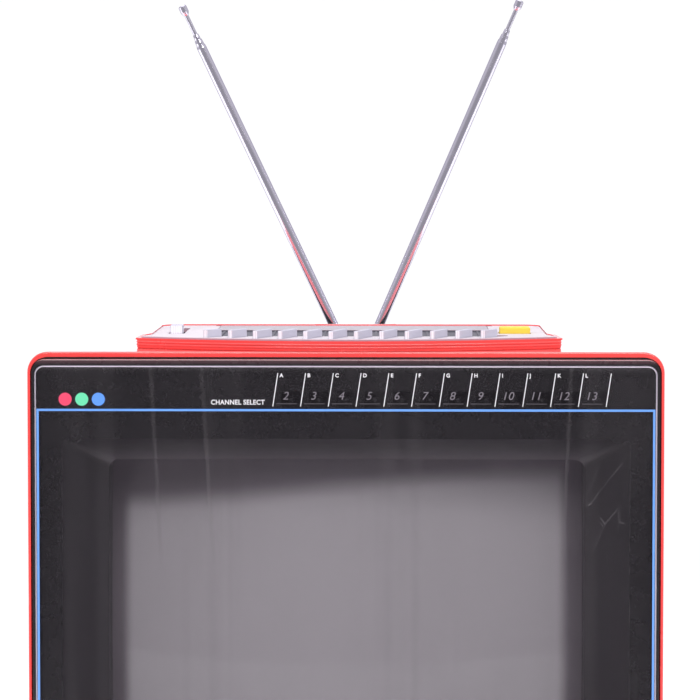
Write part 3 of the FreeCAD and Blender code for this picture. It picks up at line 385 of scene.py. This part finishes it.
def circuit_board():
    """Brown laminate with pale tracks, tinned joints and lacquer."""
    s = Shader("circuit_board")
    tracks = s.ramp(s.cells(130, "DISTANCE_TO_EDGE", randomness=0.55), 0.02, 0.06, 1.0, 0.0)
    joints = s.ramp(s.cells(210, randomness=0.2), 0.08, 0.14, 1.0, 0.0)
    base = s.mix(s.ramp(s.noise(70, 4), 0.3, 0.7), srgb(122, 82, 40), srgb(104, 68, 34))
    base = s.mix(s.product(tracks, 0.5), base, srgb(168, 128, 70))
    base = s.mix(joints, base, srgb(176, 176, 180))
    s.surface(base, 0.42, s.bump(s.math("ADD", tracks, joints), 0.00006), coat=0.3, coat_rough=0.15)
    return s.material


def paper_cone():
    """Pressed black fibre of the loudspeaker's cone."""
    s = Shader("paper_cone")
    fibre = s.noise(700, 6, 0.75)
    base = s.mix(s.ramp(fibre, 0.35, 0.7), srgb(30, 29, 28), srgb(58, 55, 52))
    s.surface(base, 0.92, s.bump(fibre, 0.00015))
    return s.material


def floor_material():
    """Plain pale studio floor with a trace of unevenness."""
    s = Shader("studio_floor")
    base = s.mix(s.ramp(s.noise(1.5, 3), 0.3, 0.7), (0.91, 0.91, 0.91, 1), (0.93, 0.93, 0.935, 1))
    s.surface(base, 0.6, s.bump(s.noise(300, 3), 0.0001))
    return s.material


def print_ink(name, colour):
    """Silk-screened ink: even colour, with the slight mottle of a print."""
    s = Shader(name)
    mottle = s.ramp(s.noise(1800, 3, 0.6), 0.35, 0.75)
    base = s.mix(s.product(mottle, 0.18), colour, dimmed(colour, 0.7))
    s.surface(base, s.ramp(s.noise(500, 2), 0.3, 0.7, 0.29, 0.41), s.bump(mottle, 0.000004))
    return s.material


MATERIALS = {
    "red": red_gloss(),
    "black": moulding("black_plastic", srgb(24, 22, 25), 0.34, 1800, 0.000015, 0.10, coat=0.25,
                      coat_rough=0.12),
    "bezel": moulding("bezel_plastic", srgb(26, 23, 27), 0.30, 1800, 0.000015, 0.10, coat=0.5,
                      coat_rough=0.08, painted_crown_highlight=srgb(250, 212, 218)),
    "mask": mask_plastic(),
    "indicator": moulding("indicator_plastic", srgb(46, 43, 48), 0.60, 2400, 0.00002, 0.05),
    "charcoal": moulding("charcoal_plastic", srgb(52, 52, 55), 0.62, 950, 0.00009, 0.30),
    "plate": moulding("plate_plastic", srgb(218, 210, 217), 0.55, 2600, 0.000012, 0.10,
                      dust_colour=(0.45, 0.42, 0.4, 1), specular=0.05, painted_wall_shade=srgb(176, 146, 158)),
    "tray": moulding("tray_plastic", srgb(108, 106, 116), 0.60, 2000, 0.00002, 0.15, specular=0.05),
    "flap": moulding("flap_plastic", srgb(184, 178, 187), 0.55, 2600, 0.000010, 0.08,
                     dust_colour=GREY_DUST, specular=0.05),
    "key": moulding("key_plastic", srgb(200, 198, 212), 0.55, 2600, 0.000010, 0.06,
                    dust_colour=GREY_DUST, specular=0.08, painted_front_light=srgb(250, 246, 255)),
    "yellow": moulding("yellow_plastic", srgb(244, 212, 84), 0.50, 2600, 0.000010, 0.06,
                       dust_colour=(0.45, 0.36, 0.2, 1), specular=0.08),
    "panel": smoked_panel(),
    "picture": picture_glass(),
    "chrome": metal("chrome_plate", (0.90, 0.87, 1.0, 1), 0.14, (1.0, 1.0, 0.06), 0.000002, 0.12,
                    edge=(0.46, 0.42, 0.56, 1)),
    "steel": metal("zinc_steel", (0.52, 0.52, 0.53, 1), 0.33, (1.0, 0.15, 1.0), 0.000006, 0.25),
    "aluminium": metal("extruded_aluminium", (0.72, 0.72, 0.73, 1), 0.30, (1.0, 1.0, 0.08), 0.00001, 0.1),
    "copper": winding("copper_winding", srgb(176, 92, 44), 420, "Y"),
    "coil": winding("taped_coil", srgb(40, 39, 42), 90, "X"),
    "ferrite": moulding("ferrite", srgb(52, 52, 56), 0.58, 1200, 0.00006, 0.1),
    "rubber": moulding("rubber", srgb(26, 25, 25), 0.78, 1400, 0.00005, 0.25),
    "graphite": moulding("graphite_coat", srgb(44, 43, 44), 0.66, 600, 0.00004, 0.1),
    "board": circuit_board(),
    "paper": paper_cone(),
}

NODE_FINISH = {
    "cabinet_shell": "red", "rear_cover": "charcoal", "front_bezel": "bezel", "front_panel": "panel",
    "screen_mask": "mask", "channel_indicator": "indicator", "crt_faceplate": "picture",
    "crt_funnel": "graphite", "crt_band": "steel", "shadow_mask": "steel", "electron_gun": "steel",
    "yoke_coils": "copper", "yoke_core": "ferrite", "purity_rings": "ferrite", "neck_board": "board",
    "degauss_coil": "coil", "main_board": "board", "flyback_transformer": "ferrite",
    "power_components": "aluminium", "tuner_box": "steel", "speaker_basket": "steel",
    "speaker_cone": "paper", "deck_bezel": "red", "deck_plate": "plate", "key_trough": "tray",
    "tuning_door": "flap", "tuning_trimmers": "board", "key_switch_board": "board",
    "volume_knob": "key", "volume_pot": "steel", "power_button": "yellow", "power_switch": "black",
    "aerial_base": "black", "aerial_socket": "steel", "earphone_jack": "black",
    "cord_gland": "rubber", "feet": "rubber", "screws": "steel",
}
NODE_FINISH.update({f"channel_key_{i + 1:02d}": "key" for i in range(KEY_COUNT)})
for side in ("left", "right"):
    NODE_FINISH[f"aerial_fork_{side}"] = "black"
    for stage in ("outer", "mid", "inner", "tip"):
        NODE_FINISH[f"aerial_{stage}_{side}"] = "chrome"


def dress_nodes():
    """Gives every CAD node its finish."""
    for name, finish in NODE_FINISH.items():
        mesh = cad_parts[name].data
        mesh.materials.clear()
        mesh.materials.append(MATERIALS[finish])


# ---------------------------------------------------------------- printed graphics
PRINT_T = 0.00008
PRINT_Y = panel_low.y
CELL_PITCH = 0.01585
FIRST_LINE_X = -0.03885
LINE_TOP = TOP_Z - 0.0122
LINE_BOTTOM = TOP_Z - 0.0313
LINE_LEAN = 0.0029
LINE_WIDTH = 0.00052
SILL_LEFT = -0.0006
SILL_RIGHT = 0.0112
SILL_Z = (LINE_BOTTOM + 0.0013, LINE_BOTTOM + 0.0018)
LETTER_CAP = 0.0021
LETTER_RIGHT = 0.0013
LETTER_Z = LINE_TOP - 0.0023
NUMBER_CAP = 0.0046
NUMBER_RIGHT = 0.0046
NUMBER_Z = TOP_Z - 0.0274
NUMBER_SLANT = 0.24
LABEL_CAP = 0.0027
LABEL_X = -0.0769
LABEL_Z = TOP_Z - 0.0302
LABEL_STRETCH = 0.93
BOLD = 0.00010
BLUE_INSET = 0.0052
BLUE_FOOT = panel_low.z + 0.0072
BLUE_TOP = TOP_Z - 0.0328
BLUE_WIDTH = 0.0013
DOT_Z = TOP_Z - 0.0273
DOT_R = 0.00375
DOTS = (("dot_red", -0.1603, srgb(238, 78, 112)), ("dot_green", -0.1508, srgb(112, 226, 176)),
        ("dot_blue", -0.1413, srgb(100, 158, 255)))


def piece(name, mesh, material):
    """Puts a printed mesh in the scene, fixed to the cabinet."""
    made = bpy.data.objects.new(name, mesh)
    bpy.context.scene.collection.objects.link(made)
    mesh.materials.clear()
    mesh.materials.append(material)
    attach(made, "cabinet")


def slab_mesh(name, outlines):
    """Thin printed shapes on the panel, each outline a closed list of (x, z)."""
    shape = bmesh.new()
    for outline in outlines:
        front = [shape.verts.new((x, PRINT_Y - PRINT_T, z)) for x, z in outline]
        back = [shape.verts.new((x, PRINT_Y, z)) for x, z in outline]
        shape.faces.new(front)
        shape.faces.new(list(reversed(back)))
        count = len(outline)
        for i in range(count):
            j = (i + 1) % count
            shape.faces.new((front[i], back[i], back[j], front[j]))
    bmesh.ops.recalc_face_normals(shape, faces=shape.faces)
    mesh = bpy.data.meshes.new(name)
    shape.to_mesh(mesh)
    shape.free()
    return mesh


def ring_mesh(name, low, high, width):
    """Rectangular printed line between two corners (x, z), drawn inwards as four mitred strips."""
    outer = [(low[0], low[1]), (high[0], low[1]), (high[0], high[1]), (low[0], high[1])]
    inner = [(low[0] + width, low[1] + width), (high[0] - width, low[1] + width),
             (high[0] - width, high[1] - width), (low[0] + width, high[1] - width)]
    sides = [[outer[i], outer[(i + 1) % 4], inner[(i + 1) % 4], inner[i]] for i in range(4)]
    return slab_mesh(name, sides)


def disc(x, z, radius, steps=48):
    """Outline of a round dot."""
    return [(x + radius * math.cos(2 * math.pi * i / steps), z + radius * math.sin(2 * math.pi * i / steps))
            for i in range(steps)]


def lettering(name, text, x, z, cap_height, material, slant=0.0, stretch=1.0, weight=0.0, centred=False):
    """Printed characters whose baseline starts at (x, z), or is centred there."""
    curve = bpy.data.curves.new(name, "FONT")
    curve.body = text
    curve.size = cap_height / 0.7
    curve.shear = slant
    curve.offset = weight
    curve.extrude = PRINT_T / 2
    curve.resolution_u = 6
    curve.space_character = 1.06
    if centred:
        curve.align_x = "CENTER"
    holder = bpy.data.objects.new(name + "_curve", curve)
    bpy.context.scene.collection.objects.link(holder)
    bpy.context.view_layer.update()
    mesh = bpy.data.meshes.new_from_object(holder.evaluated_get(bpy.context.evaluated_depsgraph_get()))
    bpy.data.objects.remove(holder)
    mesh.name = name
    upright = Matrix.Rotation(math.pi / 2, 4, "X") @ Matrix.Diagonal((stretch, 1, 1, 1))
    mesh.transform(Matrix.Translation((x, PRINT_Y - PRINT_T / 2, z)) @ upright)
    piece(name, mesh, material)


def graphics():
    """Blue line, three dots, slanted channel lines, window sills, letters, numbers and the label."""
    white = print_ink("ink_white", srgb(236, 234, 238))
    grey = print_ink("ink_grey", srgb(128, 122, 130))
    blue = print_ink("ink_blue", srgb(112, 166, 246))
    line = ring_mesh("blue_line", (shell_low.x + BLUE_INSET, BLUE_FOOT),
                     (shell_high.x - BLUE_INSET, BLUE_TOP), BLUE_WIDTH)
    piece("blue_line", line, blue)
    for name, x, colour in DOTS:
        piece(name, slab_mesh(name, [disc(x, DOT_Z, DOT_R)]), print_ink("ink_" + name, colour))
    strokes = []
    for i in range(KEY_COUNT + 1):
        top_x = FIRST_LINE_X + CELL_PITCH * i
        strokes.append([(top_x, LINE_TOP), (top_x - LINE_LEAN, LINE_BOTTOM),
                        (top_x - LINE_LEAN + LINE_WIDTH, LINE_BOTTOM), (top_x + LINE_WIDTH, LINE_TOP)])
    piece("channel_lines", slab_mesh("channel_lines", strokes), white)
    sills = []
    for i in range(KEY_COUNT):
        cell_x = FIRST_LINE_X + CELL_PITCH * i
        left, right = cell_x + SILL_LEFT, cell_x + SILL_RIGHT
        low_z, high_z = SILL_Z
        sills.append([(left, low_z), (right, low_z), (right, high_z), (left, high_z)])
    piece("window_sills", slab_mesh("window_sills", sills), print_ink("ink_dim", srgb(78, 74, 80)))
    for i in range(KEY_COUNT):
        top_x = FIRST_LINE_X + CELL_PITCH * i
        lettering(f"letter_{i + 1:02d}", chr(ord("A") + i), top_x + LETTER_RIGHT, LETTER_Z, LETTER_CAP,
                  white, weight=BOLD)
        lettering(f"number_{i + 2:02d}", str(i + 2), top_x + NUMBER_RIGHT, NUMBER_Z, NUMBER_CAP, grey,
                  slant=NUMBER_SLANT, centred=True)
    lettering("channel_label", "CHANNEL SELECT", LABEL_X, LABEL_Z, LABEL_CAP, white,
              stretch=LABEL_STRETCH, weight=BOLD)


# ---------------------------------------------------------------- studio
def area_light(name, place, target, size, watts, mirrored=True):
    """Soft box aimed at a target; one that isn't mirrored lights the set without showing in its gloss."""
    data = bpy.data.lights.new(name, "AREA")
    data.shape = "RECTANGLE"
    data.size, data.size_y = size
    data.energy = watts
    made = bpy.data.objects.new(name, data)
    bpy.context.scene.collection.objects.link(made)
    made.location = place
    made.rotation_mode = "QUATERNION"
    made.visible_glossy = mirrored
    made.rotation_quaternion = (Vector(target) - Vector(place)).to_track_quat("-Z", "Y")


FLOOR_X = 1.6
FLOOR_FRONT = -0.72
FLOOR_BACK = 1.0


def studio():
    """White surroundings for the camera, a shaded room for the reflections, floor and lights."""
    world = bpy.data.worlds.new("studio")
    bpy.context.scene.world = world
    world.use_nodes = True
    tree = world.node_tree
    tree.nodes.clear()
    place = tree.nodes.new("ShaderNodeTexCoord")
    parts = tree.nodes.new("ShaderNodeSeparateXYZ")
    tree.links.new(place.outputs["Generated"], parts.inputs[0])

    def fade(socket, low, high, out_low, out_high):
        made = tree.nodes.new("ShaderNodeMapRange")
        made.interpolation_type = "SMOOTHSTEP"
        for slot, value in zip(made.inputs[1:5], (low, high, out_low, out_high)):
            slot.default_value = value
        tree.links.new(socket, made.inputs[0])
        return made.outputs[0]

    def combine(operation, a, b):
        made = tree.nodes.new("ShaderNodeMath")
        made.operation = operation
        tree.links.new(a, made.inputs[0])
        tree.links.new(b, made.inputs[1])
        return made.outputs[0]

    # The room the set reflects: white backdrop behind, pale ceiling, dim on the viewer's side.
    backdrop = fade(parts.outputs[1], 0.86, 0.96, 0.52, 1.35)
    ceiling = fade(parts.outputs[2], 0.35, 0.9, 0.0, 0.35)
    viewer = fade(parts.outputs[1], -0.95, -0.35, 0.62, 1.0)
    room = combine("MULTIPLY", combine("ADD", backdrop, ceiling), viewer)
    reflected = tree.nodes.new("ShaderNodeBackground")
    reflected.inputs["Color"].default_value = (0.97, 0.95, 1.0, 1)
    tree.links.new(room, reflected.inputs["Strength"])
    seen = tree.nodes.new("ShaderNodeBackground")
    seen.inputs["Color"].default_value = (1.0, 1.0, 1.0, 1)
    seen.inputs["Strength"].default_value = 1.02
    choice = tree.nodes.new("ShaderNodeMixShader")
    tree.links.new(tree.nodes.new("ShaderNodeLightPath").outputs["Is Camera Ray"], choice.inputs[0])
    tree.links.new(reflected.outputs[0], choice.inputs[1])
    tree.links.new(seen.outputs[0], choice.inputs[2])
    out = tree.nodes.new("ShaderNodeOutputWorld")
    tree.links.new(choice.outputs[0], out.inputs["Surface"])

    mesh = bpy.data.meshes.new("studio_floor")
    mesh.from_pydata([(-FLOOR_X, FLOOR_FRONT, 0), (FLOOR_X, FLOOR_FRONT, 0), (FLOOR_X, FLOOR_BACK, 0),
                      (-FLOOR_X, FLOOR_BACK, 0)], [], [(0, 1, 2, 3)])
    mesh.materials.append(floor_material())
    floor = bpy.data.objects.new("studio_floor", mesh)
    bpy.context.scene.collection.objects.link(floor)

    area_light("front_high", (0.3, -2.4, 2.3), (0, 0, 0.25), (2.8, 1.2), 68)
    area_light("overhead", (0.0, 0.3, 2.3), (0, 0, 0.3), (2.6, 1.8), 7)
    area_light("left_box", (-2.2, -0.5, 1.0), (0, 0, 0.25), (1.4, 1.4), 20, False)
    area_light("right_box", (2.2, -0.3, 1.1), (0, 0, 0.25), (1.4, 1.4), 10, False)
    area_light("rear_box", (0.3, 2.4, 1.6), (0, 0, 0.3), (2.2, 1.4), 10, False)


CAMERA_DISTANCE = 1.5
CAMERA_X = 0.0254
CAMERA_ABOVE_TOP = 0.1122
CAMERA_PITCH = 2.5625
CAMERA_YAW = 0.8691
LENS = 135.6
SENSOR = 36.0
SHIFT_Y = -0.11


def camera():
    """Long lens a little above the set; the angles are in degrees, down from level and to the left."""
    data = bpy.data.cameras.new("camera")
    data.sensor_width = SENSOR
    data.lens = LENS
    data.shift_y = SHIFT_Y
    data.clip_end = 100
    made = bpy.data.objects.new("camera", data)
    bpy.context.scene.collection.objects.link(made)
    made.location = (CAMERA_X, FRONT_Y - CAMERA_DISTANCE, TOP_Z + CAMERA_ABOVE_TOP)
    made.rotation_euler = (math.radians(90 - CAMERA_PITCH), 0, math.radians(CAMERA_YAW))
    bpy.context.scene.camera = made
    view = bpy.context.scene.view_settings
    view.view_transform = "Standard"
    view.look = "None"
    view.exposure = 0.0


dress_nodes()
graphics()
studio()
camera()
